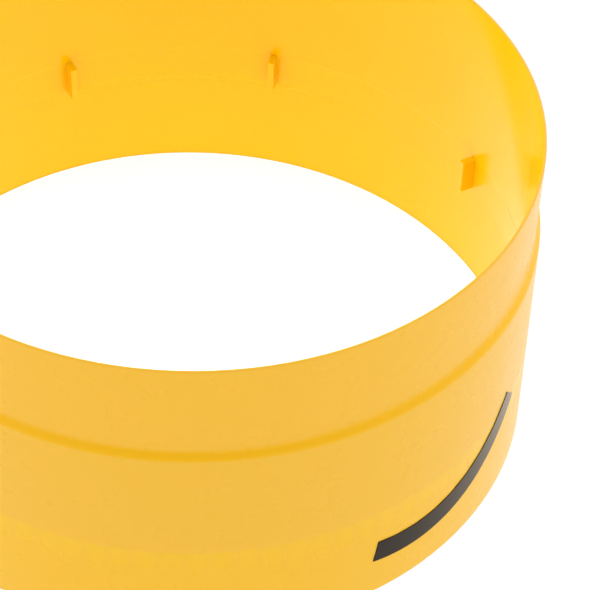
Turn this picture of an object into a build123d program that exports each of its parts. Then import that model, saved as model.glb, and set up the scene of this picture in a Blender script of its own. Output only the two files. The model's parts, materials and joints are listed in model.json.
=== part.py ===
from build123d import *

import os
from math import cos, pi, radians, sin, sqrt

# Retractable bollard with an open, moulded ring head.
# The head stands on a disc, on a steel post that slides in a buried casing. A gas spring inside
# the post lifts it, and two radial bolts, driven by the key lock in the head, hold it up.
# Sizes are in millimetres and Z points up. Z = 0 is ground level, the top face of the ground
# frame, and the column is drawn raised. The front faces -Y, and an azimuth is measured from
# the front towards +X.

os.makedirs("parts", exist_ok=True)

# --- Driving dimensions ---------------------------------------------------------------------

# Ring head
neck_diameter = 275.0  # outer diameter at the rim
ring_height = 141.3  # from the rim down to the disc it stands on
neck_height = 41.2  # the straight neck above the shoulder
shoulder_drop = 3.1
shoulder_step = 2.1  # how far the skirt stands out from the neck
neck_fillet = 4.0  # between the neck and the shoulder
shoulder_fillet = 3.0  # between the shoulder and the skirt
skirt_draft = 1.0  # how far the skirt widens further down to its bottom edge
ring_wall = 1.2
socket_height = 46.7  # the wider bore at the bottom, below the inner step
ring_seat_depth = 0.6  # how far the ring reaches down around the disc's raised middle

rib_thickness = 2.9
rib_reach = 6.0  # how far a rib stands in from the wall
rib_start = 2.2  # above the inner step
rib_height = 16.0
rib_corner = 0.6
rib_end_gap = 39.2  # degrees between the two ribs nearest the back, and nearest the front
ribs_per_side = 4

mark_azimuth = 44.25  # the direction that the black mark is drawn on
mark_centre_offset = -25.9  # its centre, sideways from that direction
mark_centre_drop = 23.4  # its centre, below the rim
mark_outer_radius = 101.2
mark_width = 10.7
mark_start, mark_end = -9.85, 43.6  # degrees from straight down, towards +X
film_thickness = 0.3

# Travel
raised_height = 600.0  # the rim above ground level when raised
rim_recess = 2.0  # the rim below ground level when lowered
post_embedment = 260.0  # how much of the post stays below ground when raised

# Disc, post and discs on the post
deck_thickness = 8.0
deck_edge = 0.3  # the straight part of its edge, above the bevel
deck_bevel = 10.0
post_diameter = 139.7
post_wall = 4.0
flange_diameter = 180.0
flange_thickness = 8.0
deck_bolt_circle = 156.0
deck_bolt_count = 6
deck_bolt_cover = 1.5  # left of the disc above the tapped holes
deck_bolt_gap = 0.5  # between a bolt and the end of its hole
deck_drain_diameter = 8.0
deck_drain_circle = 236.0
deck_drain_azimuths = (-24, 0, 24)
gusset_height = 40.0
gusset_thickness = 6.0
gusset_azimuths = (0, 120, 240)
gusset_margin = 4.0  # inside the flange, and its foot on the post
gusset_edge = 6.0
plate_thickness = 6.0  # cover disc, guide disc and bearing plate
band_height = 60.0
band_drops = (41.7, 181.7)  # their tops below the post's flange
cover_gap = 1.5  # between the cover disc and the casing
cover_hole_diameter = 10.0
cover_hole_circle = 238.0
cover_hole_start = 30.0  # degrees
cover_chamfer = 1.0
guide_gap = 6.0  # between the guide disc and the casing
guide_rise = 10.0  # from the post's end up to the guide disc
guide_hole_diameter = 28.0
disc_hole_count = 6

# Casing
casing_wall = 4.0
casing_clearance = 4.4  # between the ring head's disc and the casing, in radius
frame_clearance = 1.6  # between the ring head's disc and the frame's opening, in radius
frame_side = 400.0
frame_thickness = 10.0
frame_corner = 25.0
frame_chamfer = 1.5
anchor_spacing = 350.0
anchor_hole_diameter = 14.0
casing_flange_width = 28.0
casing_flange_thickness = 10.0
frame_screw_count = 8
frame_screw_start = 22.5  # degrees
frame_screw_inset = 1.0  # their circle, inside the middle of the casing flange
frame_screw_length = 20.0
frame_screw_head = 16.0
frame_screw_head_height = 4.0
frame_screw_socket = 2.9
frame_screw_socket_depth = 2.5
base_flange_width = 22.0
base_thickness = 8.0
gasket_thickness = 2.0
base_bolt_count = 6
base_bolt_tip = 3.0  # how far they stand out above the base flange
wiper_thickness = 4.0
wiper_clearance = 0.6
wiper_taper = 1.5
wiper_gap = 0.2  # between the wiper and the casing
stop_gap = 0.5  # between the cover disc and the wiper when raised
buffer_height = 34.0
buffer_margins = (4.0, 6.0)  # beyond the post's wall, outside and inside
buffer_chamfer = 2.0
landing_gap = 1.0
drain_diameter = 50.0
drain_bore = 44.0
drain_length = 30.0  # the round end that a socket pushes onto
drain_neck_diameter = 48.0  # where it passes through the base plate
drain_relief = 1.0  # the neck below the base plate
drain_offset = 100.0
anchor_bar_diameter = 12.0
anchor_bar_level = -330.0
anchor_bar_reach = 55.0
anchor_bar_drop = 65.0
anchor_bar_bend = 18.0
anchor_bar_azimuths = (45, 135, 225, 315)

# M8 fasteners that several pieces share
screw_diameter = 8.0
hex_head_radius = 7.5
hex_head_height = 5.3

# Guide pads
pad_clearance = 0.4
pad_count = 8
pad_height = 30.0
pad_width = 24.0
pad_depth = 14.0

# Gas spring
spring_diameter = 28.0
spring_wall = 2.0
rod_diameter = 10.0
spring_shoulder = 12.0  # from its pin down to the cylinder's closed end
spring_rise = 5.0  # from the post's end up to the gland
gland_length = 18.0
piston_length = 15.0
piston_gap = 5.0  # between the piston and the gland when extended
piston_stub_diameter = 6.0
spring_cap = 5.0  # the closed top of the cylinder
spring_margin = 2.0  # around the cylinder in the bearing plate
pin_diameter = 8.0
pin_head_diameter = 12.8
pin_head_height = 2.5
pin_end = 1.5  # how far a pin stands out of its ears
eye_thickness = 8.0
eye_radius = 8.0
eye_neck = 11.0  # from the rod's pin up to where the rod is round
ear_thickness = 6.0
ear_clearance = 0.3  # on each side of the eye
ear_overhang = 9.0  # beyond the pin's axis
spring_foot = (36.0, 30.0, 5.0)
spring_ear_width = 20.0
rod_foot = (60.0, 50.0, 6.0)
rod_foot_corner = 5.0
rod_ear_width = 22.0
spring_pin_drop = 29.7  # below the post's flange
rod_pin_height = 22.0  # above the base plate

# Lock and bolts
barrel_diameter = 30.0
barrel_rim_diameter = 38.0
barrel_rim = 3.0
barrel_length = 42.0
barrel_chamfer = 0.8
plug_diameter = 16.0
shaft_diameter = 12.0
cam_post_gap = 5.85  # between the cam and the post's wall
cam_spring_gap = 2.0  # between the cam and the gas spring
cam_thickness = 5.0
cam_top = -24.5
bolt_cam_gap = 0.5
bolt_diameter = 12.0
bolt_chamfer = 1.5
bolt_heel = 5.5  # from its pin to its inner end
bolt_pin_gap = 1.0  # from the pin's top to the cam's top
bolt_stroke = 8.0
bolt_end_gap = 0.8  # between a drawn-back bolt and the casing
bolt_pin_diameter = 5.0
bolt_pin_start = 8.0  # a bolt's pin from the lock's axis, drawn back
slot_clearance = 0.3
keyway_width, keyway_length, keyway_depth = 2.4, 10.0, 8.0
guide_block_centre = 104.0
guide_block_length = 24.0
guide_block_width = 22.0
guide_block_floor = 5.0
keeper_depth = 26.0
keeper_width = 30.0
keeper_height = 30.0
keeper_end_gap = 3.0  # beyond an extended bolt

# Dust cap
cap_radius = 13.0
cap_pivot_radius = 6.5
cap_thickness = 2.0
cap_lift = 0.3
cap_fillet = 0.6
cap_pivot_offset = 26.0
cap_screw_diameter = 6.0
cap_screw_head = 11.0
cap_screw_head_height = 2.5
cap_screw_fillet = 1.0
cap_screw_socket = (2.0, 1.5)  # radius and depth
cap_play = 0.2  # between the cap and the screw's head
cap_boss_gap = 0.1  # between the screw's shoulder and the cap

# Lifting handle
handle_rod = 8.0
handle_width = 90.0
handle_reach = 50.0
handle_corner = 12.0
handle_end_bend = 4.5
handle_gap = 24.0  # from the lock's axis to the handle's pivot, towards the front
handle_height = 9.0  # its pivot above the disc
handle_stub = 11.0
bracket_thickness = 6.0
bracket_inset = 0.5  # from the bracket's outer face to the rod's end
bracket_foot = (20.0, 18.0, 3.0)
bracket_foot_corner = 2.0
bracket_foot_overlap = 2.0
bracket_screw_inset = 9.0  # from the foot's end
bracket_screw_diameter = 5.0
bracket_screw_head = 9.5
bracket_screw_head_height = 2.7
bracket_screw_fillet = 1.2

# Fits, as clearance in radius
running_fit = 0.05
free_fit = 0.7
hole_fit = 0.2
screw_hole_fit = 0.1

# --- Values worked out from them ------------------------------------------------------------

rim_z = raised_height
travel = raised_height + rim_recess
neck_radius = neck_diameter / 2
shoulder_radius = neck_radius + shoulder_step
skirt_radius = shoulder_radius + skirt_draft
bore_radius = neck_radius - ring_wall
socket_radius = skirt_radius - ring_wall
shoulder_top_z = rim_z - neck_height
shoulder_z = shoulder_top_z - shoulder_drop
deck_z = rim_z - ring_height
step_z = deck_z + socket_height
step_drop = socket_radius - bore_radius
ring_foot_z = deck_z - ring_seat_depth
rib_pitch = (360 - 2 * rib_end_gap) / (2 * (ribs_per_side - 1))

deck_radius = skirt_radius
deck_bottom_z = deck_z - deck_thickness
flange_radius = flange_diameter / 2
flange_z = deck_bottom_z - flange_thickness
post_radius = post_diameter / 2
post_bore = post_radius - post_wall
post_bottom_z = -post_embedment

frame_opening = deck_radius + frame_clearance
casing_bore = deck_radius + casing_clearance
casing_radius = casing_bore + casing_wall
base_z = post_bottom_z - travel - landing_gap - buffer_height
casing_bottom_z = base_z + gasket_thickness
casing_flange_radius = casing_radius + casing_flange_width
base_radius = casing_radius + base_flange_width
frame_screw_circle = casing_radius + casing_flange_width / 2 - frame_screw_inset
base_bolt_circle = casing_radius + base_flange_width / 2

wiper_bottom_z = -frame_thickness - wiper_thickness
cover_z = wiper_bottom_z - stop_gap
cover_bottom_z = cover_z - plate_thickness
cover_radius = casing_bore - cover_gap
pad_radius = casing_bore - pad_clearance
guide_radius = casing_bore - guide_gap
guide_z = post_bottom_z + guide_rise

spring_radius = spring_diameter / 2
spring_bore = spring_radius - spring_wall
rod_radius = rod_diameter / 2
spring_pin_level = flange_z - spring_pin_drop
spring_end = spring_pin_level - spring_shoulder
spring_bottom = post_bottom_z + spring_rise
band_tops = [flange_z - drop for drop in band_drops]
rod_pin_z = base_z + rod_pin_height
piston_z = spring_bottom + gland_length + piston_gap

# The lock's axis stands in front of the post's axis, with its cam between the spring and the post.
cam_radius = (post_bore - cam_post_gap - spring_radius - cam_spring_gap) / 2
lock_offset = spring_radius + cam_spring_gap + cam_radius
handle_offset = lock_offset + handle_gap
barrel_top_z = deck_z + barrel_rim
barrel_bottom_z = deck_z - barrel_length
bolt_radius = bolt_diameter / 2
bolt_level = cam_top - cam_thickness - bolt_cam_gap - bolt_radius
bolt_back_end = sqrt(casing_bore**2 - (lock_offset + bolt_radius) ** 2) - bolt_end_gap
bolt_front_end = bolt_pin_start - bolt_heel
bolt_levels = (bolt_level, bolt_level - travel)  # locked raised, and locked lowered
cap_z = barrel_top_z + cap_lift
screw_radius = screw_diameter / 2


def around(azimuth, radius, z=0.0):
    """The point at an azimuth, in degrees from the front towards +X."""
    return Vector(radius * sin(radians(azimuth)), -radius * cos(radians(azimuth)), z)


def radial_plane(azimuth, radius, z):
    """A level plane at that point, with its x axis pointing outwards."""
    return Plane(origin=around(azimuth, radius, z), x_dir=around(azimuth, 1), z_dir=(0, 0, 1))


def side_plane(y, z, x=0.0):
    """A plane whose normal is +X, for pins and bores that lie along X."""
    return Plane(origin=(x, y, z), x_dir=(0, 1, 0), z_dir=(1, 0, 0))


def save(part, name):
    part.label = name
    export_step(part, f"parts/{name}.step")


# --- Ring head ------------------------------------------------------------------------------

# One moulding: neck, shoulder, skirt, an inner step above the wider socket, and upright ribs
# that stand just above that step.
with BuildPart() as head_ring:
    with BuildSketch(Plane.XZ) as ring_profile:
        with BuildLine():
            rim_start = (neck_radius, rim_z - ring_wall / 2)
            rim_end = (bore_radius, rim_z - ring_wall / 2)
            ThreePointArc(rim_start, (neck_radius - ring_wall / 2, rim_z), rim_end)
            Polyline(
                rim_end,
                (bore_radius, step_z + step_drop / 2),
                (socket_radius, step_z - step_drop / 2),
                (socket_radius, ring_foot_z),
                (skirt_radius, ring_foot_z),
                (skirt_radius, deck_z),
                (shoulder_radius, shoulder_z),
                (neck_radius, shoulder_top_z),
                rim_start,
            )
        make_face()
        corners = ring_profile.vertices()
        fillet(corners.sort_by_distance((neck_radius, shoulder_top_z))[0], neck_fillet)
        corners = ring_profile.vertices()
        fillet(corners.sort_by_distance((shoulder_radius, shoulder_z))[0], shoulder_fillet)
    revolve(axis=Axis.Z)
    for side in (-1, 1):
        for k in range(ribs_per_side):
            azimuth = 180 + side * (rib_end_gap / 2 + k * rib_pitch)
            middle = bore_radius - rib_reach / 2 + ring_wall / 2
            with BuildSketch(radial_plane(azimuth, middle, step_z + rib_start)):
                RectangleRounded(rib_reach + ring_wall, rib_thickness, rib_corner)
            extrude(amount=rib_height)
save(head_ring.part, "head_ring")

# The plain black mark: a curved bar of film on the skirt, cut by a prism that points outwards.
mark_plane = Plane(
    origin=(0, 0, 0),
    x_dir=around(mark_azimuth + 90, 1),
    z_dir=around(mark_azimuth, 1),
)


def mark_point(radius, angle):
    """A point of the mark in its plane, at an angle from straight down."""
    x = mark_centre_offset + radius * sin(radians(angle))
    return (x, rim_z - mark_centre_drop - radius * cos(radians(angle)))


with BuildPart() as arc_marking:
    with BuildSketch(Plane.XZ):
        with BuildLine():
            Polyline(
                (shoulder_radius, shoulder_z),
                (skirt_radius, deck_z),
                (skirt_radius + film_thickness, deck_z),
                (shoulder_radius + film_thickness, shoulder_z),
                close=True,
            )
        make_face()
    revolve(axis=Axis.Z)
    with BuildSketch(mark_plane):
        with BuildLine():
            inner = mark_outer_radius - mark_width
            mark_middle = (mark_start + mark_end) / 2
            ThreePointArc(
                mark_point(mark_outer_radius, mark_start),
                mark_point(mark_outer_radius, mark_middle),
                mark_point(mark_outer_radius, mark_end),
            )
            Line(mark_point(mark_outer_radius, mark_end), mark_point(inner, mark_end))
            ThreePointArc(
                mark_point(inner, mark_end),
                mark_point(inner, mark_middle),
                mark_point(inner, mark_start),
            )
            Line(mark_point(inner, mark_start), mark_point(mark_outer_radius, mark_start))
        make_face()
    extrude(amount=casing_radius, mode=Mode.INTERSECT)
save(arc_marking.part, "arc_marking")

# --- Head disc and post ---------------------------------------------------------------------

lock_hole_radius = barrel_diameter / 2 + hole_fit
bracket_x = handle_width / 2 + handle_stub - bracket_thickness / 2 - bracket_inset

with BuildPart() as head_deck:
    with BuildSketch(Plane.XZ):
        with BuildLine():
            Polyline(
                (0, deck_z),
                (socket_radius - hole_fit, deck_z),
                (socket_radius - hole_fit, ring_foot_z),
                (deck_radius, ring_foot_z),
                (deck_radius, ring_foot_z - deck_edge),
                (deck_radius - deck_bevel, deck_bottom_z),
                (0, deck_bottom_z),
                close=True,
            )
        make_face()
    revolve(axis=Axis.Z)
    with Locations((0, -lock_offset, deck_z)):
        Hole(lock_hole_radius)
    with Locations([around(a, deck_drain_circle / 2, deck_z) for a in deck_drain_azimuths]):
        Hole(deck_drain_diameter / 2)
    with BuildSketch(Plane.XY.offset(deck_bottom_z)):
        with PolarLocations(deck_bolt_circle / 2, deck_bolt_count):
            Circle(screw_radius)
    extrude(amount=deck_thickness - deck_bolt_cover, mode=Mode.SUBTRACT)
save(head_deck.part, "head_deck")

with BuildPart() as post_flange:
    with BuildSketch(Plane.XY.offset(flange_z)):
        Circle(flange_radius)
        with PolarLocations(deck_bolt_circle / 2, deck_bolt_count):
            Circle(screw_radius + hole_fit, mode=Mode.SUBTRACT)
        with Locations((0, -lock_offset)):
            Circle(lock_hole_radius, mode=Mode.SUBTRACT)
    extrude(amount=flange_thickness)
save(post_flange.part, "post_flange")

with BuildPart() as deck_bolts:
    with BuildSketch(Plane.XY.offset(flange_z)):
        with PolarLocations(deck_bolt_circle / 2, deck_bolt_count):
            RegularPolygon(hex_head_radius, 6)
    extrude(amount=-hex_head_height)
    with BuildSketch(Plane.XY.offset(flange_z)):
        with PolarLocations(deck_bolt_circle / 2, deck_bolt_count):
            Circle(screw_radius)
    extrude(amount=flange_thickness + deck_thickness - deck_bolt_cover - deck_bolt_gap)
save(deck_bolts.part, "deck_bolts")

with BuildPart() as post_tube:
    with BuildSketch(Plane.XY.offset(post_bottom_z)):
        Circle(post_radius)
        Circle(post_bore, mode=Mode.SUBTRACT)
    extrude(amount=flange_z - post_bottom_z)
    with BuildSketch(side_plane(-lock_offset, bolt_level)):
        Circle(bolt_radius + free_fit)
    extrude(amount=post_diameter, both=True, mode=Mode.SUBTRACT)
save(post_tube.part, "post_tube")

with BuildPart() as post_gussets:
    for azimuth in gusset_azimuths:
        plane = Plane(
            origin=around(azimuth + 90, gusset_thickness / 2),
            x_dir=around(azimuth, 1),
            z_dir=around(azimuth - 90, 1),
        )
        with BuildSketch(plane):
            with BuildLine():
                Polyline(
                    (post_radius, flange_z),
                    (flange_radius - gusset_margin, flange_z),
                    (flange_radius - gusset_margin, flange_z - gusset_edge),
                    (post_radius + gusset_margin, flange_z - gusset_height),
                    (post_radius, flange_z - gusset_height),
                    close=True,
                )
            make_face()
        extrude(amount=gusset_thickness)
    with BuildSketch(Plane.XY.offset(flange_z)):
        Circle(post_radius)
    extrude(amount=-gusset_height, mode=Mode.SUBTRACT)
save(post_gussets.part, "post_gussets")

for name, top in zip(("reflective_band_upper", "reflective_band_lower"), band_tops):
    with BuildPart() as band:
        with BuildSketch(Plane.XY.offset(top - band_height)):
            Circle(post_radius + film_thickness)
            Circle(post_radius, mode=Mode.SUBTRACT)
        extrude(amount=band_height)
    save(band.part, name)

# --- Discs on the post ----------------------------------------------------------------------

with BuildPart() as cover_disc:
    with BuildSketch(Plane.XY.offset(cover_bottom_z)):
        Circle(cover_radius)
        Circle(post_radius, mode=Mode.SUBTRACT)
        with PolarLocations(cover_hole_circle / 2, disc_hole_count, start_angle=cover_hole_start):
            Circle(cover_hole_diameter / 2, mode=Mode.SUBTRACT)
    extrude(amount=plate_thickness)
    chamfer(cover_disc.faces().sort_by(Axis.Z)[-1].edges().sort_by(SortBy.LENGTH)[-1], cover_chamfer)
save(cover_disc.part, "cover_disc")

with BuildPart() as guide_disc:
    with BuildSketch(Plane.XY.offset(guide_z)):
        Circle(guide_radius)
        Circle(post_radius, mode=Mode.SUBTRACT)
        with PolarLocations((guide_radius + post_radius) / 2, disc_hole_count):
            Circle(guide_hole_diameter / 2, mode=Mode.SUBTRACT)
    extrude(amount=plate_thickness)
save(guide_disc.part, "guide_disc")

for name, top in (("guide_pads_upper", cover_bottom_z), ("guide_pads_lower", guide_z)):
    with BuildPart() as pads:
        with BuildSketch(Plane.XY.offset(top)):
            with PolarLocations(pad_radius - pad_depth / 2, pad_count):
                Rectangle(pad_depth * 1.5, pad_width)
            Circle(pad_radius, mode=Mode.INTERSECT)
            Circle(pad_radius - pad_depth, mode=Mode.SUBTRACT)
        extrude(amount=-pad_height)
    save(pads.part, name)

with BuildPart() as bearing_plate:
    with BuildSketch(Plane.XY.offset(cover_bottom_z)):
        Circle(post_bore)
        Circle(spring_radius + spring_margin, mode=Mode.SUBTRACT)
        with Locations((0, -lock_offset)):
            Circle(shaft_diameter / 2 + running_fit, mode=Mode.SUBTRACT)
        with Locations((0, post_bore / 2 + spring_radius)):
            Rectangle(3 * post_bore, post_bore - spring_radius, mode=Mode.SUBTRACT)
    extrude(amount=plate_thickness)
save(bearing_plate.part, "bearing_plate")

# --- Lock, cam and bolts --------------------------------------------------------------------

with BuildPart() as lock_barrel:
    with BuildSketch(Plane.XY.offset(barrel_bottom_z)):
        with Locations((0, -lock_offset)):
            Circle(barrel_diameter / 2)
    extrude(amount=barrel_length)
    with BuildSketch(Plane.XY.offset(deck_z)):
        with Locations((0, -lock_offset)):
            Circle(barrel_rim_diameter / 2)
    extrude(amount=barrel_rim)
    chamfer(lock_barrel.faces().sort_by(Axis.Z)[-1].edges(), barrel_chamfer)
    with Locations((0, -lock_offset, barrel_top_z)):
        Hole(plug_diameter / 2 + running_fit)
save(lock_barrel.part, "lock_barrel")

with BuildPart() as lock_plug:
    with BuildSketch(Plane.XY.offset(barrel_bottom_z)):
        with Locations((0, -lock_offset)):
            Circle(plug_diameter / 2)
    extrude(amount=barrel_top_z - barrel_bottom_z)
    with BuildSketch(Plane.XY.offset(barrel_top_z)):
        with Locations((0, -lock_offset)):
            Rectangle(keyway_width, keyway_length)
    extrude(amount=-keyway_depth, mode=Mode.SUBTRACT)
save(lock_plug.part, "lock_plug")

with BuildPart() as lock_shaft:
    with BuildSketch(Plane.XY.offset(cam_top)):
        with Locations((0, -lock_offset)):
            Circle(shaft_diameter / 2)
    extrude(amount=barrel_bottom_z - cam_top)
save(lock_shaft.part, "lock_shaft")

# The cam's two spiral slots carry the bolts' pins out by the bolt stroke in a quarter turn.
cam_rate = bolt_stroke / (pi / 2)
slot_half_width = bolt_pin_diameter / 2 + slot_clearance
slot_steps = 8


def spiral_point(share, start):
    """A point of a slot, from the pin's place at rest to its place after a quarter turn."""
    turn = share * pi / 2
    radius = bolt_pin_start + cam_rate * turn
    angle = radians(start) - turn
    return (radius * cos(angle), radius * sin(angle) - lock_offset)


with BuildPart() as lock_cam:
    with BuildSketch(Plane.XY.offset(cam_top)):
        with Locations((0, -lock_offset)):
            Circle(cam_radius)
        for start in (0, 180):
            points = [spiral_point(i / slot_steps, start) for i in range(slot_steps + 1)]
            with BuildLine():
                Spline(*points)
            trace(line_width=2 * slot_half_width, mode=Mode.SUBTRACT)
            with Locations(points[0], points[-1]):
                Circle(slot_half_width, mode=Mode.SUBTRACT)
    extrude(amount=-cam_thickness)
save(lock_cam.part, "lock_cam")

for name, side in (("bolt_right", 1), ("bolt_left", -1)):
    with BuildPart() as bolt:
        with BuildSketch(side_plane(-lock_offset, bolt_level, side * bolt_front_end)):
            Circle(bolt_radius)
        extrude(amount=side * (bolt_back_end - bolt_front_end))
        chamfer(bolt.edges().sort_by(Axis.X)[-1 if side > 0 else 0], bolt_chamfer)
        with BuildSketch(Plane.XY.offset(bolt_level)):
            with Locations((side * bolt_pin_start, -lock_offset)):
                Circle(bolt_pin_diameter / 2)
        extrude(amount=cam_top - bolt_pin_gap - bolt_level)
    save(bolt.part, name)

guide_block_height = cover_bottom_z - bolt_level + bolt_radius + guide_block_floor
with BuildPart() as bolt_guides:
    with BuildSketch(Plane.XY.offset(cover_bottom_z)):
        with Locations((-guide_block_centre, -lock_offset), (guide_block_centre, -lock_offset)):
            Rectangle(guide_block_length, guide_block_width)
    extrude(amount=-guide_block_height)
    with BuildSketch(side_plane(-lock_offset, bolt_level)):
        Circle(bolt_radius + running_fit)
    extrude(amount=casing_bore, both=True, mode=Mode.SUBTRACT)
save(bolt_guides.part, "bolt_guides")

# The keepers stand outside the casing at both levels, so that the column locks raised or lowered.
with BuildPart() as bolt_keepers:
    for level in bolt_levels:
        with BuildSketch(Plane.XY.offset(level - keeper_height / 2)):
            with Locations((-casing_bore, -lock_offset), (casing_bore, -lock_offset)):
                Rectangle(keeper_depth, keeper_width)
            Circle(casing_radius, mode=Mode.SUBTRACT)
        extrude(amount=keeper_height)
        with BuildSketch(side_plane(-lock_offset, level)):
            Circle(bolt_radius + free_fit)
        extrude(amount=bolt_back_end + bolt_stroke + keeper_end_gap, both=True, mode=Mode.SUBTRACT)
save(bolt_keepers.part, "bolt_keepers")

# --- Dust cap over the keyhole --------------------------------------------------------------

cap_bore = cap_screw_diameter / 2 + running_fit
with BuildPart() as dust_cap:
    with BuildSketch(Plane.XY.offset(cap_z)):
        with Locations((0, -lock_offset)):
            Circle(cap_radius)
        with Locations((cap_pivot_offset, -lock_offset)):
            Circle(cap_pivot_radius)
        make_hull()
        with Locations((cap_pivot_offset, -lock_offset)):
            Circle(cap_bore, mode=Mode.SUBTRACT)
    extrude(amount=cap_thickness)
    fillet(dust_cap.faces().sort_by(Axis.Z)[-1].outer_wire().edges(), cap_fillet)
save(dust_cap.part, "dust_cap")

cap_head_z = cap_z + cap_thickness + cap_play
socket_size, socket_depth = cap_screw_socket
with BuildPart() as cap_screw:
    with BuildSketch(Plane.XY.offset(deck_z)):
        with Locations((cap_pivot_offset, -lock_offset)):
            Circle(cap_pivot_radius - 1)
    extrude(amount=cap_z - deck_z - cap_boss_gap)
    with BuildSketch(Plane.XY.offset(deck_z)):
        with Locations((cap_pivot_offset, -lock_offset)):
            Circle(cap_screw_diameter / 2)
    extrude(amount=cap_head_z - deck_z)
    with BuildSketch(Plane.XY.offset(cap_head_z)):
        with Locations((cap_pivot_offset, -lock_offset)):
            Circle(cap_screw_head / 2)
    extrude(amount=cap_screw_head_height)
    fillet(cap_screw.faces().sort_by(Axis.Z)[-1].edges(), cap_screw_fillet)
    with BuildSketch(Plane.XY.offset(cap_head_z + cap_screw_head_height)):
        with Locations((cap_pivot_offset, -lock_offset)):
            RegularPolygon(socket_size, 6)
    extrude(amount=-socket_depth, mode=Mode.SUBTRACT)
save(cap_screw.part, "cap_screw")

# --- Lifting handle -------------------------------------------------------------------------

handle_z = deck_z + handle_height
half_width = handle_width / 2
with BuildPart() as lifting_handle:
    with BuildLine() as handle_line:
        FilletPolyline(
            (-half_width - handle_stub, -handle_offset, handle_z),
            (-half_width, -handle_offset, handle_z),
            (-half_width, -handle_offset - handle_reach, handle_z),
            (half_width, -handle_offset - handle_reach, handle_z),
            (half_width, -handle_offset, handle_z),
            (half_width + handle_stub, -handle_offset, handle_z),
            radius=[handle_end_bend, handle_corner, handle_corner, handle_end_bend],
        )
    with BuildSketch(side_plane(-handle_offset, handle_z, -half_width - handle_stub)):
        Circle(handle_rod / 2)
    sweep(path=handle_line.line)
save(lifting_handle.part, "lifting_handle")

foot_length, foot_width, foot_thickness = bracket_foot
bracket_end = bracket_x + bracket_thickness / 2
bracket_hole_x = bracket_end + foot_length - bracket_screw_inset
with BuildPart() as handle_brackets:
    for side in (-1, 1):
        with BuildSketch(side_plane(-handle_offset, handle_z, side * bracket_x)):
            Circle(handle_height)
            with Locations((0, -handle_height / 2)):
                Rectangle(2 * handle_height, handle_height)
        extrude(amount=bracket_thickness / 2, both=True)
        foot_x = side * (bracket_end + foot_length / 2 - bracket_foot_overlap)
        with BuildSketch(Plane.XY.offset(deck_z)):
            with Locations((foot_x, -handle_offset)):
                RectangleRounded(foot_length, foot_width, bracket_foot_corner)
        extrude(amount=foot_thickness)
    with BuildSketch(side_plane(-handle_offset, handle_z)):
        Circle(handle_rod / 2 + running_fit)
    extrude(amount=neck_radius, both=True, mode=Mode.SUBTRACT)
    with Locations(
        (-bracket_hole_x, -handle_offset, deck_z + foot_thickness),
        (bracket_hole_x, -handle_offset, deck_z + foot_thickness),
    ):
        Hole(bracket_screw_diameter / 2 + screw_hole_fit)
save(handle_brackets.part, "handle_brackets")

with BuildPart() as handle_screws:
    with BuildSketch(Plane.XY.offset(deck_z)):
        with Locations((-bracket_hole_x, -handle_offset), (bracket_hole_x, -handle_offset)):
            Circle(bracket_screw_diameter / 2)
    extrude(amount=foot_thickness)
    with BuildSketch(Plane.XY.offset(deck_z + foot_thickness)):
        with Locations((-bracket_hole_x, -handle_offset), (bracket_hole_x, -handle_offset)):
            Circle(bracket_screw_head / 2)
    extrude(amount=bracket_screw_head_height)
    fillet(handle_screws.faces().filter_by(Axis.Z).sort_by(Axis.Z)[-2:].edges(), bracket_screw_fillet)
save(handle_screws.part, "handle_screws")

# --- Gas spring -----------------------------------------------------------------------------


def clevis_pin(z, length):
    """A headed pin that lies along X, centred on the post's axis."""
    with BuildPart() as pin:
        with BuildSketch(side_plane(0, z, -length / 2)):
            Circle(pin_diameter / 2)
        extrude(amount=length)
        with BuildSketch(side_plane(0, z, -length / 2)):
            Circle(pin_head_diameter / 2)
        extrude(amount=-pin_head_height)
    return pin.part


ear_gap = eye_thickness + 2 * ear_clearance
pin_length = ear_gap + 2 * (ear_thickness + pin_end)
pin_bore = pin_diameter / 2 + running_fit

spring_foot_length, spring_foot_width, spring_foot_thickness = spring_foot
spring_foot_z = flange_z - spring_foot_thickness
with BuildPart() as spring_bracket:
    with BuildSketch(Plane.XY.offset(flange_z)):
        Rectangle(spring_foot_length, spring_foot_width)
    extrude(amount=-spring_foot_thickness)
    for side in (-1, 1):
        middle = side * (ear_gap + ear_thickness) / 2
        with BuildSketch(Plane.XY.offset(spring_foot_z)):
            with Locations((middle, 0)):
                Rectangle(ear_thickness, spring_ear_width)
        extrude(amount=spring_pin_level - ear_overhang - spring_foot_z)
    with BuildSketch(side_plane(0, spring_pin_level)):
        Circle(pin_bore)
    extrude(amount=pin_length, both=True, mode=Mode.SUBTRACT)
save(spring_bracket.part, "spring_bracket")

save(clevis_pin(spring_pin_level, pin_length), "spring_pin")

with BuildPart() as spring_cylinder:
    with BuildSketch(Plane.XY.offset(spring_bottom)):
        Circle(spring_radius)
    extrude(amount=spring_end - spring_bottom)
    with BuildSketch(Plane.XY.offset(spring_bottom)):
        Circle(spring_bore)
    extrude(amount=spring_end - spring_cap - spring_bottom, mode=Mode.SUBTRACT)
    with BuildSketch(side_plane(0, spring_pin_level)):
        Circle(eye_radius)
        with Locations((0, (spring_end - spring_pin_level) / 2)):
            Rectangle(2 * eye_radius, spring_pin_level - spring_end)
    extrude(amount=eye_thickness / 2, both=True)
    with BuildSketch(side_plane(0, spring_pin_level)):
        Circle(pin_bore)
    extrude(amount=eye_thickness, both=True, mode=Mode.SUBTRACT)
save(spring_cylinder.part, "spring_cylinder")

with BuildPart() as spring_gland:
    with BuildSketch(Plane.XY.offset(spring_bottom)):
        Circle(spring_bore)
        Circle(rod_radius + running_fit, mode=Mode.SUBTRACT)
    extrude(amount=gland_length)
save(spring_gland.part, "spring_gland")

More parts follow.
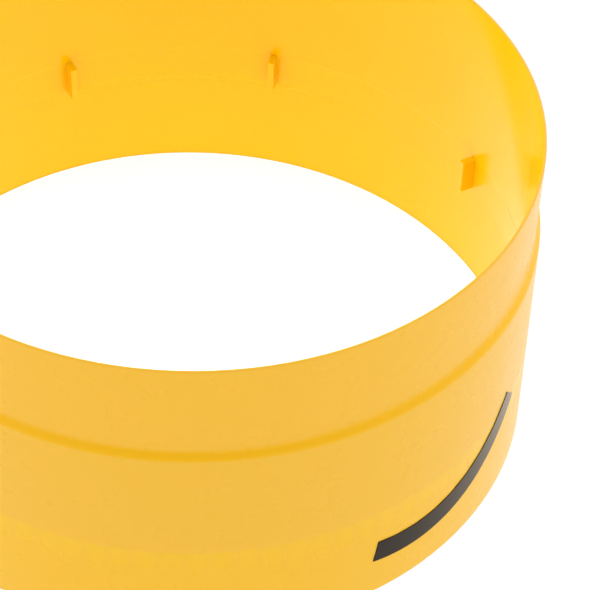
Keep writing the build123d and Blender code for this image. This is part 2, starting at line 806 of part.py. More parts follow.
with BuildPart() as spring_piston:
    with BuildSketch(Plane.XY.offset(piston_z)):
        Circle(spring_bore - running_fit)
        Circle(piston_stub_diameter / 2, mode=Mode.SUBTRACT)
    extrude(amount=piston_length)
save(spring_piston.part, "spring_piston")

with BuildPart() as spring_rod:
    with BuildSketch(side_plane(0, rod_pin_z)):
        Circle(eye_radius)
        with Locations((0, eye_neck / 2)):
            Rectangle(rod_diameter, eye_neck)
    extrude(amount=eye_thickness / 2, both=True)
    with BuildSketch(Plane.XY.offset(rod_pin_z + eye_neck)):
        Circle(rod_radius)
    extrude(amount=piston_z - rod_pin_z - eye_neck)
    with BuildSketch(Plane.XY.offset(piston_z)):
        Circle(piston_stub_diameter / 2)
    extrude(amount=piston_length)
    with BuildSketch(side_plane(0, rod_pin_z)):
        Circle(pin_bore)
    extrude(amount=eye_thickness, both=True, mode=Mode.SUBTRACT)
save(spring_rod.part, "spring_rod")

rod_foot_length, rod_foot_width, rod_foot_thickness = rod_foot
with BuildPart() as rod_bracket:
    with BuildSketch(Plane.XY.offset(base_z)):
        RectangleRounded(rod_foot_length, rod_foot_width, rod_foot_corner)
    extrude(amount=rod_foot_thickness)
    for side in (-1, 1):
        with BuildSketch(Plane.XY.offset(base_z + rod_foot_thickness)):
            with Locations((side * (ear_gap + ear_thickness) / 2, 0)):
                Rectangle(ear_thickness, rod_ear_width)
        extrude(amount=rod_pin_height - rod_foot_thickness + ear_overhang)
    with BuildSketch(side_plane(0, rod_pin_z)):
        Circle(pin_bore)
    extrude(amount=pin_length, both=True, mode=Mode.SUBTRACT)
save(rod_bracket.part, "rod_bracket")

save(clevis_pin(rod_pin_z, pin_length), "rod_pin")

# --- Ground frame and casing ----------------------------------------------------------------

with BuildPart() as ground_frame:
    with BuildSketch(Plane.XY):
        RectangleRounded(frame_side, frame_side, frame_corner)
        Circle(frame_opening, mode=Mode.SUBTRACT)
        with GridLocations(anchor_spacing, anchor_spacing, 2, 2):
            Circle(anchor_hole_diameter / 2, mode=Mode.SUBTRACT)
    extrude(amount=-frame_thickness)
    with PolarLocations(frame_screw_circle, frame_screw_count, start_angle=frame_screw_start):
        CounterSinkHole(screw_radius + hole_fit, frame_screw_head / 2 + hole_fit)
    top_edges = ground_frame.faces().sort_by(Axis.Z)[-1].outer_wire().edges()
    chamfer(top_edges, frame_chamfer)
save(ground_frame.part, "ground_frame")

with BuildPart() as frame_screws:
    with BuildSketch(Plane.XZ):
        with BuildLine():
            Polyline(
                (0, 0),
                (frame_screw_head / 2, 0),
                (screw_radius, -frame_screw_head_height),
                (screw_radius, 1 - frame_screw_length),
                (screw_radius - 1, -frame_screw_length),
                (0, -frame_screw_length),
                close=True,
            )
        make_face()
    revolve(axis=Axis.Z)
    with BuildSketch(Plane.XY):
        RegularPolygon(frame_screw_socket, 6)
    extrude(amount=-frame_screw_socket_depth, mode=Mode.SUBTRACT)
one_screw = frame_screws.part
with BuildPart() as frame_screws:
    with PolarLocations(frame_screw_circle, frame_screw_count, start_angle=frame_screw_start):
        add(one_screw)
save(frame_screws.part, "frame_screws")

with BuildPart() as casing_tube:
    with BuildSketch(Plane.XY.offset(casing_bottom_z)):
        Circle(casing_radius)
        Circle(casing_bore, mode=Mode.SUBTRACT)
    extrude(amount=-frame_thickness - casing_bottom_z)
    for level in bolt_levels:
        with BuildSketch(side_plane(-lock_offset, level)):
            Circle(bolt_radius + free_fit)
        extrude(amount=2 * casing_radius, both=True, mode=Mode.SUBTRACT)
save(casing_tube.part, "casing_tube")

with BuildPart() as casing_flange:
    with BuildSketch(Plane.XY.offset(-frame_thickness)):
        Circle(casing_flange_radius)
        Circle(casing_radius, mode=Mode.SUBTRACT)
        with PolarLocations(frame_screw_circle, frame_screw_count, start_angle=frame_screw_start):
            Circle(screw_radius, mode=Mode.SUBTRACT)
    extrude(amount=-casing_flange_thickness)
save(casing_flange.part, "casing_flange")

with BuildPart() as wiper_ring:
    with BuildSketch(Plane.XZ):
        with BuildLine():
            lip = deck_radius + wiper_clearance
            Polyline(
                (lip, -frame_thickness),
                (casing_bore - wiper_gap, -frame_thickness),
                (casing_bore - wiper_gap, wiper_bottom_z),
                (lip + wiper_taper, wiper_bottom_z),
                close=True,
            )
        make_face()
    revolve(axis=Axis.Z)
save(wiper_ring.part, "wiper_ring")

with BuildPart() as base_flange:
    with BuildSketch(Plane.XY.offset(casing_bottom_z)):
        Circle(base_radius)
        Circle(casing_radius, mode=Mode.SUBTRACT)
        with PolarLocations(base_bolt_circle, base_bolt_count):
            Circle(screw_radius, mode=Mode.SUBTRACT)
    extrude(amount=base_thickness)
save(base_flange.part, "base_flange")

with BuildPart() as base_gasket:
    with BuildSketch(Plane.XY.offset(base_z)):
        Circle(base_radius)
        Circle(casing_bore, mode=Mode.SUBTRACT)
        with PolarLocations(base_bolt_circle, base_bolt_count):
            Circle(screw_radius + hole_fit, mode=Mode.SUBTRACT)
    extrude(amount=gasket_thickness)
save(base_gasket.part, "base_gasket")

with BuildPart() as base_plate:
    with BuildSketch(Plane.XY.offset(base_z)):
        Circle(base_radius)
        with Locations((0, drain_offset)):
            Circle(drain_neck_diameter / 2, mode=Mode.SUBTRACT)
        with PolarLocations(base_bolt_circle, base_bolt_count):
            Circle(screw_radius + hole_fit, mode=Mode.SUBTRACT)
    extrude(amount=-base_thickness)
save(base_plate.part, "base_plate")

with BuildPart() as base_bolts:
    with BuildSketch(Plane.XY.offset(base_z - base_thickness)):
        with PolarLocations(base_bolt_circle, base_bolt_count):
            RegularPolygon(hex_head_radius, 6)
    extrude(amount=-hex_head_height)
    with BuildSketch(Plane.XY.offset(base_z - base_thickness)):
        with PolarLocations(base_bolt_circle, base_bolt_count):
            Circle(screw_radius)
    extrude(amount=2 * base_thickness + gasket_thickness + base_bolt_tip)
save(base_bolts.part, "base_bolts")

drain_neck_length = base_thickness + drain_relief
with BuildPart() as drain_pipe:
    with BuildSketch(Plane.XY.offset(base_z)):
        with Locations((0, drain_offset)):
            Circle(drain_neck_diameter / 2)
    extrude(amount=-drain_neck_length)
    with BuildSketch(Plane.XY.offset(base_z - drain_neck_length)):
        with Locations((0, drain_offset)):
            Circle(drain_diameter / 2)
    extrude(amount=-drain_length)
    with Locations((0, drain_offset, base_z)):
        Hole(drain_bore / 2)
save(drain_pipe.part, "drain_pipe")

buffer_outside, buffer_inside = buffer_margins
with BuildPart() as landing_buffer:
    with BuildSketch(Plane.XY.offset(base_z)):
        Circle(post_radius + buffer_outside)
        Circle(post_bore - buffer_inside, mode=Mode.SUBTRACT)
    extrude(amount=buffer_height)
    chamfer(landing_buffer.faces().sort_by(Axis.Z)[-1].edges(), buffer_chamfer)
save(landing_buffer.part, "landing_buffer")

with BuildPart() as anchor_bars:
    outer = casing_radius + anchor_bar_reach
    for azimuth in anchor_bar_azimuths:
        with BuildLine() as bar_line:
            FilletPolyline(
                around(azimuth, casing_radius, anchor_bar_level),
                around(azimuth, outer, anchor_bar_level),
                around(azimuth, outer, anchor_bar_level - anchor_bar_drop),
                radius=anchor_bar_bend,
            )
        bar_start = Plane(
            origin=around(azimuth, casing_radius, anchor_bar_level),
            z_dir=around(azimuth, 1),
        )
        with BuildSketch(bar_start):
            Circle(anchor_bar_diameter / 2)
        sweep(path=bar_line.line)
save(anchor_bars.part, "anchor_bars")
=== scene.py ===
"""Looks of the retractable bollard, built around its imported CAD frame. Lengths are in metres."""

import json
import math

import bpy
import bmesh
from mathutils import Euler, Matrix, Vector


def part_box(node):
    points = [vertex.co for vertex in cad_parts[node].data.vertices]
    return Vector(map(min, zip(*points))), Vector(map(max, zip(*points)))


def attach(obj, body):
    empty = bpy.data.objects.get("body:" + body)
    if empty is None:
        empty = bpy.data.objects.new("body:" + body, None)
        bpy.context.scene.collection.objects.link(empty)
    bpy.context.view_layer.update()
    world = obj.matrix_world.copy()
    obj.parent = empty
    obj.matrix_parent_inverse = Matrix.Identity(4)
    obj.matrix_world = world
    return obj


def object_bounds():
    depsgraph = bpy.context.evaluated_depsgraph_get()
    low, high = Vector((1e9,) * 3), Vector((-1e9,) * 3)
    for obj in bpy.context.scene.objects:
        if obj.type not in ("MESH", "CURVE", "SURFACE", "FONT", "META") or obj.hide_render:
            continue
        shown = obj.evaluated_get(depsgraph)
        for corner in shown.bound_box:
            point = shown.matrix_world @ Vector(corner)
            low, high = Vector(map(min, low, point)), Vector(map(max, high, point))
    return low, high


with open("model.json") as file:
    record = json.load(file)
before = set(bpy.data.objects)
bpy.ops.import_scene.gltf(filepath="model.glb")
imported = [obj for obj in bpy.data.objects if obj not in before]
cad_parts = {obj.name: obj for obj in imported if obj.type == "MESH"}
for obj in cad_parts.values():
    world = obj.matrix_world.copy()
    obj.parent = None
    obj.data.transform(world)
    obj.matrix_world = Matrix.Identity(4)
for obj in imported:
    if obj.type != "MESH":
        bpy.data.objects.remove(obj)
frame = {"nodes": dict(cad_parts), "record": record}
CAD_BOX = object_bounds()
NODES = frame["nodes"]
SCENE = bpy.context.scene
UP = Vector((0, 0, 1))

# --- Sizes, read from the frame where it shows them -------------------------------------------

# Ring head
RIM_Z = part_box("head_ring")[1].z
DECK_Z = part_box("head_deck")[1].z
NECK_RADIUS = 0.1375
NECK_HEIGHT = 0.0412
SHOULDER_DROP = 0.0031
SHOULDER_STEP = 0.0031  # how far the skirt's foot stands out from the neck
RING_WALL = 0.0012
SOCKET_HEIGHT = 0.0467  # from the disc up to the inner step
RIB_TOP = 0.0182  # above the inner step
SHOULDER_TOP_Z = RIM_Z - NECK_HEIGHT
SHOULDER_Z = SHOULDER_TOP_Z - SHOULDER_DROP
STEP_Z = DECK_Z + SOCKET_HEIGHT
RIB_TOP_Z = STEP_Z + RIB_TOP
NECK_MIDDLE = NECK_RADIUS - RING_WALL / 2
SOCKET_MIDDLE = NECK_MIDDLE + SHOULDER_STEP

# Post, casing and frame
BAND_THICKNESS = 0.0003
POST_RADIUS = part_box("reflective_band_upper")[1].x - BAND_THICKNESS
GUSSET_COUNT = 3
GUSSET_THICKNESS = 0.006
CASING_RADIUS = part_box("casing_tube")[1].x
ANCHOR_BAR_COUNT = 4
ANCHOR_BAR_RADIUS = 0.006
FRAME_OPENING = 0.1422
ANCHOR_HOLE_PLACE = 0.175  # along each side from the middle
SCREW_COUNT = 8
SCREW_HEAD = 0.016
FLOOR_Z = CAD_BOX[0].z


# --- Materials --------------------------------------------------------------------------------


class Shader:
    """A node material with one Principled shader, and short ways to add nodes to it."""

    def __init__(self, name, base, roughness, metallic=0.0):
        self.material = bpy.data.materials.new(name)
        self.material.use_nodes = True
        self.tree = self.material.node_tree
        self.shader = self.tree.nodes["Principled BSDF"]
        self.set("Base Color", (*base, 1))
        self.set("Roughness", roughness)
        self.set("Metallic", metallic)

    def set(self, socket, value):
        self.shader.inputs[socket].default_value = value

    def link(self, out, into):
        self.tree.links.new(out, into)

    def node(self, kind, **settings):
        node = self.tree.nodes.new(kind)
        for key, value in settings.items():
            if hasattr(node, key):
                setattr(node, key, value)
            else:
                node.inputs[key.replace("_", " ")].default_value = value
        return node

    def place(self, scale=(1, 1, 1)):
        """Object coordinates, stretched by scale."""
        where = self.node("ShaderNodeTexCoord")
        mapping = self.node("ShaderNodeMapping")
        mapping.inputs["Scale"].default_value = scale
        self.link(where.outputs["Object"], mapping.inputs["Vector"])
        return mapping.outputs["Vector"]

    def noise(self, scale, detail=4.0, stretch=(1, 1, 1)):
        noise = self.node("ShaderNodeTexNoise", Scale=scale, Detail=detail)
        self.link(self.place(stretch), noise.inputs["Vector"])
        return noise.outputs["Fac"]

    def ramp(self, value, low, high, start=0.3, end=0.7):
        """value mapped from start..end to low..high."""
        node = self.node("ShaderNodeMapRange")
        node.inputs["From Min"].default_value = start
        node.inputs["From Max"].default_value = end
        node.inputs["To Min"].default_value = low
        node.inputs["To Max"].default_value = high
        self.link(value, node.inputs["Value"])
        return node.outputs["Result"]

    def mix(self, value, first, second, socket="Base Color"):
        """Colours the shader from first to second as value goes from 0 to 1."""
        node = self.node("ShaderNodeMix", data_type="RGBA")
        self.link(value, node.inputs[0])
        node.inputs[6].default_value = (*first, 1)
        node.inputs[7].default_value = (*second, 1)
        self.link(node.outputs[2], self.shader.inputs[socket])
        return node.outputs[2]

    def blend(self, value, first, second):
        """The colour between first and second, each a colour or a node's output."""
        node = self.node("ShaderNodeMix", data_type="RGBA")
        self.link(value, node.inputs[0])
        for colour, socket in ((first, node.inputs[6]), (second, node.inputs[7])):
            if isinstance(colour, tuple):
                socket.default_value = (*colour, 1)
            else:
                self.link(colour, socket)
        return node.outputs[2]

    def math(self, operation, first, second):
        """A sum on two values, each a number or a node's output."""
        node = self.node("ShaderNodeMath", operation=operation)
        for value, socket in ((first, node.inputs[0]), (second, node.inputs[1])):
            if isinstance(value, (int, float)):
                socket.default_value = value
            else:
                self.link(value, socket)
        return node.outputs["Value"]

    def cylinder_place(self):
        """The distance from the object's Z axis, and the height."""
        where = self.node("ShaderNodeTexCoord")
        split = self.node("ShaderNodeSeparateXYZ")
        self.link(where.outputs["Object"], split.inputs["Vector"])
        flat = self.node("ShaderNodeCombineXYZ")
        self.link(split.outputs["X"], flat.inputs["X"])
        self.link(split.outputs["Y"], flat.inputs["Y"])
        radius = self.node("ShaderNodeVectorMath", operation="LENGTH")
        self.link(flat.outputs["Vector"], radius.inputs[0])
        return radius.outputs["Value"], split.outputs["Z"]

    def bump(self, height, distance, strength=1.0):
        node = self.node("ShaderNodeBump")
        node.inputs["Distance"].default_value = distance
        node.inputs["Strength"].default_value = strength
        self.link(height, node.inputs["Height"])
        self.link(node.outputs["Normal"], self.shader.inputs["Normal"])


def ring_plastic():
    """Glossy yellow moulded plastic, thin enough to glow. Its inside is painted lighter and deeper in
    colour than its paler outside, as painted light.
    """
    s = Shader("ring_plastic", (0.93, 0.52, 0.02), 0.14)
    s.set("Subsurface Weight", 0.12)
    s.set("Subsurface Radius", (1.0, 0.6, 0.1))
    s.set("Subsurface Scale", 0.002)
    s.set("Specular IOR Level", 0.22)
    radius, height = s.cylinder_place()
    # The middle of the wall stands further out below the inner step, in the socket.
    middle = s.ramp(height, SOCKET_MIDDLE, NECK_MIDDLE, STEP_Z - 0.001, STEP_Z + 0.001)
    beyond = s.math("SUBTRACT", radius, middle)
    change = 0.0002
    outside = s.ramp(beyond, 0, 1, -change, change)
    inside = s.ramp(beyond, 1, 0, -change, change)
    soft = 0.0004
    # The shoulder band is painted a darker, deeper yellow: painted shade in the corner where the neck
    # meets the shoulder.
    above_shoulder = s.ramp(height, 0, 1, SHOULDER_Z - 2 * soft, SHOULDER_Z)
    below_shoulder = s.ramp(height, 1, 0, SHOULDER_TOP_Z - soft, SHOULDER_TOP_Z + soft)
    shoulder_painted_shade = s.math("MULTIPLY", above_shoulder, below_shoulder)
    above_step = s.ramp(height, 0, 1, STEP_Z - 0.008, STEP_Z)
    skirt = s.blend(above_step, (0.935, 0.53, 0.020), (0.92, 0.52, 0.034))
    outer = s.blend(shoulder_painted_shade, skirt, (0.93, 0.50, 0.001))
    # The inside is painted lighter than the outside: painted light on the inner wall.
    inner_painted_light = s.blend(s.ramp(s.noise(9.0), 0, 1), (0.97, 0.62, 0.001), (0.97, 0.605, 0.001))
    # The rounded edge of the rim is painted darker than the walls: a painted shade line along the edge.
    rim = s.ramp(height, 0, 1, RIM_Z - 0.0006, RIM_Z - 0.0001)
    colour = s.blend(rim, s.blend(outside, inner_painted_light, outer), (0.80, 0.44, 0.030))
    s.link(colour, s.shader.inputs["Base Color"])
    # The outside is grained a little, and the inside is polished.
    gloss = s.math("ADD", s.ramp(s.noise(60.0), 0.16, 0.20), s.math("MULTIPLY", outside, 0.10))
    s.link(gloss, s.shader.inputs["Roughness"])
    # A faint witness line of the mould runs round the inside at the ribs' tops.
    line = s.math("MULTIPLY", inside, s.ramp(height, 0, 1, RIB_TOP_Z - soft, RIB_TOP_Z + soft))
    grain = s.math("MULTIPLY", s.noise(220.0, 2), 0.15)
    s.bump(s.math("ADD", grain, line), 0.00012)
    return s.material


def mark_film():
    """Black film that turns a warm grey where it is seen along its surface."""
    s = Shader("mark_film", (0.006, 0.005, 0.005), 0.12)
    s.set("Specular IOR Level", 0.10)
    s.set("Specular Tint", (1.0, 0.82, 0.62, 1.0))
    s.set("Sheen Weight", 0.75)
    s.set("Sheen Roughness", 0.30)
    s.set("Sheen Tint", (1.0, 0.72, 0.40, 1.0))
    s.mix(s.noise(500.0), (0.006, 0.004, 0.003), (0.012, 0.009, 0.006))
    s.link(s.ramp(s.noise(300.0), 0.10, 0.16), s.shader.inputs["Roughness"])
    return s.material


def white_coating():
    """Fine, matt powder coat."""
    s = Shader("white_coating", (0.9, 0.9, 0.9), 0.5)
    s.mix(s.noise(40.0), (0.89, 0.89, 0.89), (0.91, 0.91, 0.91))
    s.bump(s.noise(900.0, 2), 0.00003)
    return s.material


def yellow_coating():
    """Satin powder coat with a slight orange peel."""
    s = Shader("yellow_coating", (0.85, 0.42, 0.01), 0.35)
    s.mix(s.noise(6.0), (0.82, 0.40, 0.01), (0.88, 0.44, 0.012))
    s.link(s.ramp(s.noise(25.0, 5), 0.30, 0.42), s.shader.inputs["Roughness"])
    s.bump(s.noise(700.0, 3), 0.00006)
    return s.material


def reflective_film():
    """Black film with the small cells of a prismatic sheet under its surface."""
    s = Shader("reflective_film", (0.01, 0.01, 0.011), 0.3)
    cells = s.node("ShaderNodeTexVoronoi", Scale=260.0, Randomness=0.35)
    cells.feature = "DISTANCE_TO_EDGE"
    s.link(s.place(), cells.inputs["Vector"])
    in_cell = s.ramp(cells.outputs["Distance"], 0, 1, 0.02, 0.12)
    colour = s.blend(in_cell, (0.035, 0.035, 0.037), (0.010, 0.010, 0.011))
    s.link(colour, s.shader.inputs["Base Color"])
    s.link(s.ramp(s.noise(35.0, 4), 0.24, 0.38), s.shader.inputs["Roughness"])
    return s.material


def galvanised():
    """Hot-dip zinc: faint spangle of two sizes over a dull, slightly streaked grey."""
    s = Shader("galvanised_steel", (0.55, 0.57, 0.58), 0.42, 0.85)
    large = s.node("ShaderNodeTexVoronoi", Scale=55.0)
    small = s.node("ShaderNodeTexVoronoi", Scale=160.0)
    s.link(s.place(), large.inputs["Vector"])
    s.link(s.place(), small.inputs["Vector"])
    large_part = s.math("MULTIPLY", large.outputs["Color"], 0.65)
    small_part = s.math("MULTIPLY", small.outputs["Color"], 0.35)
    spangle = s.math("ADD", large_part, small_part)
    cells = s.blend(spangle, (0.42, 0.44, 0.46), (0.60, 0.62, 0.63))
    streaks = s.ramp(s.noise(14.0, 5, (1, 1, 0.35)), 0, 0.55, 0.42, 0.75)
    s.link(s.blend(streaks, cells, (0.38, 0.39, 0.40)), s.shader.inputs["Base Color"])
    uneven = s.math("ADD", spangle, s.noise(45.0))
    s.link(s.ramp(uneven, 0.34, 0.58, 0.5, 1.5), s.shader.inputs["Roughness"])
    s.bump(s.math("ADD", spangle, s.noise(260.0, 3)), 0.00003)
    return s.material


def plain_metal(name, base, roughness, stretch=(1, 1, 1)):
    """Bare or plated metal with slightly uneven colour and gloss, brushed if it is stretched."""
    s = Shader(name, base, roughness, 1.0)
    darker = tuple(c * 0.85 for c in base)
    s.mix(s.noise(120.0, 3, stretch), darker, base)
    uneven = s.ramp(s.noise(240.0, 3, stretch), roughness * 0.8, roughness * 1.3)
    s.link(uneven, s.shader.inputs["Roughness"])
    return s.material


def plain_plastic(name, base, roughness):
    """Plastic, rubber or paint with a fine grain."""
    s = Shader(name, base, roughness)
    darker = tuple(c * 0.8 for c in base)
    s.mix(s.noise(30.0), darker, base)
    s.bump(s.noise(600.0, 2), 0.00004)
    return s.material


MATERIALS = {
    "ring_plastic": ring_plastic(),
    "mark_film": mark_film(),
    "white_coating": white_coating(),
    "yellow_coating": yellow_coating(),
    "reflective_film": reflective_film(),
    "galvanised_steel": galvanised(),
    "zinc_fastener": plain_metal("zinc_fastener", (0.68, 0.67, 0.62), 0.3),
    "stainless": plain_metal("stainless", (0.46, 0.46, 0.47), 0.26, (1, 1, 12)),
    "lock_brass": plain_metal("lock_brass", (0.72, 0.50, 0.20), 0.28),
    "lock_chrome": plain_metal("lock_chrome", (0.50, 0.50, 0.52), 0.18),
    "spring_paint": plain_plastic("spring_paint", (0.02, 0.02, 0.022), 0.3),
    "rod_chrome": plain_metal("rod_chrome", (0.8, 0.8, 0.82), 0.08),
    "piston_brass": plain_metal("piston_brass", (0.70, 0.48, 0.20), 0.3),
    "pad_plastic": plain_plastic("pad_plastic", (0.82, 0.82, 0.78), 0.45),
    "rubber": plain_plastic("rubber", (0.02, 0.02, 0.02), 0.7),
    "drain_plastic": plain_plastic("drain_plastic", (0.42, 0.13, 0.04), 0.4),
}

for entry in frame["record"]["subparts"]:
    mesh = NODES[entry["node"]].data
    mesh.materials.clear()
    mesh.materials.append(MATERIALS[entry["material_slot"]])

# --- Pieces -----------------------------------------------------------------------------------


def add_piece(name, built, body, slot):
    """Turns a bmesh into a smooth object that rides on a body and has a slot's finish."""
    mesh = bpy.data.meshes.new(name)
    bmesh.ops.recalc_face_normals(built, faces=built.faces)
    built.to_mesh(mesh)
    built.free()
    mesh.polygons.foreach_set("use_smooth", [True] * len(mesh.polygons))
    piece = bpy.data.objects.new(name, mesh)
    SCENE.collection.objects.link(piece)
    mesh.materials.append(MATERIALS[slot])
    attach(piece, body)


BEAD = 0.0024  # the radius of a weld's bead
THIN_BEAD = 0.8 * BEAD
BEAD_SIDES = 8
BEAD_END = 0.55  # how much narrower a bead is at its ends
RIPPLE = 0.0042  # from one ripple of a weld to the next
RIPPLE_DEPTH = 0.10
RIPPLE_POINTS = 3  # of a bead's line in one ripple
UPRIGHT = 0.9  # a line's rise over its length, from which its bead is laid as an upright one


def weld_bead(built, points, closed, size):
    """A rippled bead of weld metal along a line of evenly spaced points."""
    count = len(points)
    rings = []
    for i, point in enumerate(points):
        before = points[i - 1] if closed or i > 0 else point
        after = points[(i + 1) % count] if closed or i < count - 1 else point
        along = (after - before).normalized()
        side = along.orthogonal() if abs(along.z) > UPRIGHT else along.cross(UP)
        side.normalize()
        up = side.cross(along)
        radius = size * (1 + RIPPLE_DEPTH * math.cos(2 * math.pi * i / RIPPLE_POINTS))
        if not closed and i in (0, count - 1):
            radius *= BEAD_END
        ring = []
        for k in range(BEAD_SIDES):
            angle = 2 * math.pi * k / BEAD_SIDES
            spoke = math.cos(angle) * side + math.sin(angle) * up
            ring.append(built.verts.new(point + radius * spoke))
        rings.append(ring)
    for i in range(count if closed else count - 1):
        first, second = rings[i], rings[(i + 1) % count]
        for k in range(BEAD_SIDES):
            m = (k + 1) % BEAD_SIDES
            built.faces.new((first[k], first[m], second[m], second[k]))
    if not closed:
        built.faces.new(rings[0])
        built.faces.new(reversed(rings[-1]))


def circle_points(centre, radius, axis):
    """Points round a circle, with a whole number of ripples."""
    count = RIPPLE_POINTS * round(2 * math.pi * radius / RIPPLE)
    first = axis.orthogonal().normalized()
    second = axis.cross(first)
    turns = [2 * math.pi * i / count for i in range(count)]
    return [centre + radius * (math.cos(t) * first + math.sin(t) * second) for t in turns]


def line_points(start, end):
    """Points along a straight line, about as far apart as on a circle."""
    count = max(4, round(RIPPLE_POINTS * (end - start).length / RIPPLE))
    return [start.lerp(end, i / (count - 1)) for i in range(count)]


def casing_welds():
    """The beads on the casing: at its two flanges, the bolts' keepers and the anchor bars."""
    built = bmesh.new()
    for z, side in ((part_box("casing_flange")[0].z, -1), (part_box("base_flange")[1].z, 1)):
        centre = Vector((0, 0, z + side * BEAD * 0.5))
        weld_bead(built, circle_points(centre, CASING_RADIUS + BEAD * 0.5, UP), True, BEAD)
    low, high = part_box("bolt_keepers")
    half = (high.y - low.y) / 2  # a keeper is as tall as it is wide
    for z in (low.z + half, high.z - half):
        for y in (low.y, high.y):
            for side in (-1, 1):
                middle = Vector((side * math.sqrt(CASING_RADIUS**2 - y**2), y, z))
                points = line_points(middle - UP * half, middle + UP * half)
                weld_bead(built, points, False, BEAD)
    bar_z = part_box("anchor_bars")[1].z - ANCHOR_BAR_RADIUS
    for turn in range(ANCHOR_BAR_COUNT):
        azimuth = 2 * math.pi * (turn + 0.5) / ANCHOR_BAR_COUNT
        out = Vector((math.cos(azimuth), math.sin(azimuth), 0))
        centre = out * (CASING_RADIUS + BEAD * 0.3) + UP * bar_z
        points = circle_points(centre, ANCHOR_BAR_RADIUS + BEAD * 0.4, out)
        weld_bead(built, points, True, THIN_BEAD)
    add_piece("casing_welds", built, "casing", "galvanised_steel")


def post_bead(built, z):
    """A bead round the post."""
    weld_bead(built, circle_points(UP * z, POST_RADIUS + BEAD * 0.4, UP), True, BEAD)


def post_welds():
    """The beads on the post: under its flange, along the gussets and on the cover disc."""
    built = bmesh.new()
    flange_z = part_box("post_flange")[0].z
    post_bead(built, flange_z - BEAD * 0.4)
    foot_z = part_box("post_gussets")[0].z
    for turn in range(GUSSET_COUNT):
        out = Matrix.Rotation(2 * math.pi * turn / GUSSET_COUNT, 3, "Z") @ Vector((0, -1, 0))
        for side in (-1, 1):
            sideways = side * GUSSET_THICKNESS / 2 * UP.cross(out)
            root = out * (POST_RADIUS + BEAD * 0.2) + sideways
            weld_bead(built, line_points(root + UP * foot_z, root + UP * flange_z), False, THIN_BEAD)
    add_piece("post_welds", built, "column", "yellow_coating")
    built = bmesh.new()
    low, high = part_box("cover_disc")
    post_bead(built, low.z - BEAD * 0.4)
    post_bead(built, high.z + BEAD * 0.4)
    add_piece("cover_disc_weld", built, "column", "galvanised_steel")


LUG_PITCH = 0.0185
LUG_LENGTH, LUG_WIDTH, LUG_HEIGHT = 0.0165, 0.0046, 0.0011
LUG_SINK = 0.0002  # how deep its foot goes into the plate
LUG_LEVELS = ((0.86, 0.6), (0.55, 0.95))  # shares of its outline and of its height
LUG_MARGIN = 0.010  # from the frame's edges
LUG_STEPS = 10  # along each side of its outline


def lug(built, centre, angle):
    """One pointed oval lug of tread plate."""
    along = Vector((math.cos(angle), math.sin(angle), 0))
    across = UP.cross(along)
    levels = [(1.0, -LUG_SINK)] + [(share, height * LUG_HEIGHT) for share, height in LUG_LEVELS]
    rims = []
    for share, z in levels:
        rim = []
        for i in range(2 * LUG_STEPS):
            t = math.pi * i / LUG_STEPS
            x = 0.5 * LUG_LENGTH * share * math.cos(t)
            y = 0.5 * LUG_WIDTH * share * math.sin(t) * abs(math.sin(t)) ** 0.4
            rim.append(built.verts.new(centre + along * x + across * y + UP * z))
        rims.append(rim)
    top = built.verts.new(centre + UP * LUG_HEIGHT)
    for i in range(2 * LUG_STEPS):
        k = (i + 1) % (2 * LUG_STEPS)
        for first, second in zip(rims, rims[1:]):
            built.faces.new((first[i], first[k], second[k], second[i]))
        built.faces.new((rims[-1][i], rims[-1][k], top))


def lug_fits(x, y, half):
    """Whether a lug here is clear of the frame's edges, its opening, its screws and its holes."""
    pitch = 2 * math.pi / SCREW_COUNT
    circle = (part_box("frame_screws")[1].x - SCREW_HEAD / 2) / math.cos(pitch / 2)
    nearest = (math.floor(math.atan2(y, x) / pitch) + 0.5) * pitch
    to_screw = math.hypot(x - circle * math.cos(nearest), y - circle * math.sin(nearest))
    to_hole = math.hypot(abs(x) - ANCHOR_HOLE_PLACE, abs(y) - ANCHOR_HOLE_PLACE)
    reach = 0.8 * LUG_LENGTH
    return (
        max(abs(x), abs(y)) < half - LUG_MARGIN
        and math.hypot(x, y) > FRAME_OPENING + LUG_MARGIN
        and to_screw > reach + 0.005
        and to_hole > reach + 0.006
    )


def tread_lugs():
    """The tread pattern on the ground frame's top face."""
    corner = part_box("ground_frame")[1]
    built = bmesh.new()
    count = int(corner.x / LUG_PITCH)
    for i in range(-count, count + 1):
        for k in range(-count, count + 1):
            x, y = i * LUG_PITCH, k * LUG_PITCH
            if lug_fits(x, y, corner.x):
                lug(built, Vector((x, y, corner.z)), math.radians(45 if (i + k) % 2 else -45))
    add_piece("tread_lugs", built, "casing", "galvanised_steel")


casing_welds()
post_welds()
tread_lugs()

# --- Room, light and camera -------------------------------------------------------------------


def make_floor(half_side):
    """A white floor under the object."""
    mesh = bpy.data.meshes.new("floor")
    built = bmesh.new()
    bmesh.ops.create_grid(built, x_segments=1, y_segments=1, size=half_side)
    built.to_mesh(mesh)
    built.free()
    floor = bpy.data.objects.new("floor", mesh)
    floor.location.z = FLOOR_Z
    SCENE.collection.objects.link(floor)
    s = Shader("floor_paint", (0.93, 0.93, 0.93), 0.6)
    s.set("Specular IOR Level", 0.1)
    mesh.materials.append(s.material)


def make_world(strength, front_strength):
    """A white room that is a little darker above the front, where the camera stands."""
    world = bpy.data.worlds.new("studio")
    world.use_nodes = True
    nodes, links = world.node_tree.nodes, world.node_tree.links
    background = nodes["Background"]
    background.inputs["Color"].default_value = (1, 1, 1, 1)
    where = nodes.new("ShaderNodeTexCoord")
    toward = nodes.new("ShaderNodeVectorMath")
    toward.operation = "DOT_PRODUCT"
    toward.inputs[1].default_value = Vector((0, -1, 1)).normalized()
    fade = nodes.new("ShaderNodeMapRange")
    fade.interpolation_type = "SMOOTHSTEP"
    fade.inputs["From Min"].default_value = 0.35
    fade.inputs["From Max"].default_value = 0.95
    fade.inputs["To Min"].default_value = strength
    fade.inputs["To Max"].default_value = front_strength
    links.new(where.outputs["Generated"], toward.inputs[0])
    links.new(toward.outputs["Value"], fade.inputs["Value"])
    links.new(fade.outputs["Result"], background.inputs["Strength"])
    SCENE.world = world


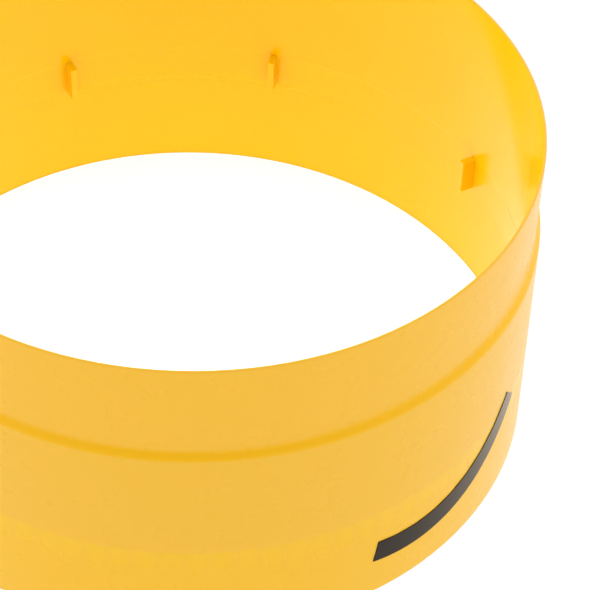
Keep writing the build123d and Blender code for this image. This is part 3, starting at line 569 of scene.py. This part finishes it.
WELL_NODES = (
    "head_deck", "lock_barrel", "lock_plug", "dust_cap", "cap_screw",
    "lifting_handle", "handle_brackets", "handle_screws",
)


def well_light(power):
    """A narrow light straight above the head. It lights only the disc, and only WELL_NODES shade it."""
    above = 3.0
    light = bpy.data.lights.new("well_light", "SPOT")
    light.energy = power
    light.shadow_soft_size = 0.01
    light.spot_size = 2 * math.atan(1.1 * NECK_RADIUS / above)
    light.spot_blend = 0
    lamp = bpy.data.objects.new("well_light", light)
    lamp.location = (0, 0, RIM_Z + above)
    SCENE.collection.objects.link(lamp)
    lit = bpy.data.collections.new("well_light_targets")
    lit.objects.link(NODES["head_deck"])
    lamp.light_linking.receiver_collection = lit
    shading = bpy.data.collections.new("well_light_blockers")
    for node in WELL_NODES:
        shading.objects.link(NODES[node])
    lamp.light_linking.blocker_collection = shading


def softbox(name, place, target, size, power):
    """A square area light that faces a point."""
    light = bpy.data.lights.new(name, "AREA")
    light.shape = "SQUARE"
    light.size = size
    light.energy = power
    lamp = bpy.data.objects.new(name, light)
    lamp.location = place
    lamp.rotation_euler = (Vector(target) - Vector(place)).to_track_quat("-Z", "Y").to_euler()
    SCENE.collection.objects.link(lamp)


def make_camera():
    """The camera looks down at the ring head, from the front and turned a little to the right."""
    distance, azimuth, elevation = 0.9451, -4.08, 40.38
    heading, pitch, roll = 7.51, 44.54, 2.73
    data = bpy.data.cameras.new("camera")
    data.lens = 148.45
    data.clip_start, data.clip_end = 0.05, 50
    camera = bpy.data.objects.new("camera", data)
    a, e = math.radians(azimuth), math.radians(elevation)
    away = Vector((math.sin(a) * math.cos(e), -math.cos(a) * math.cos(e), math.sin(e)))
    aim = Euler((math.radians(90 - pitch), 0, -math.radians(heading))).to_matrix()
    aim = aim @ Matrix.Rotation(math.radians(roll), 3, "Z")
    camera.matrix_world = Matrix.LocRotScale(Vector((0, 0, RIM_Z)) + away * distance, aim, None)
    SCENE.collection.objects.link(camera)
    SCENE.camera = camera


make_floor(half_side=6.0)
make_world(strength=1.33, front_strength=0.70)
softbox("top_softbox", place=(0.1, 0.6, 2.4), target=(0, 0, 0.5), size=1.6, power=10)
well_light(power=330)
make_camera()
SCENE.view_settings.view_transform = "Standard"
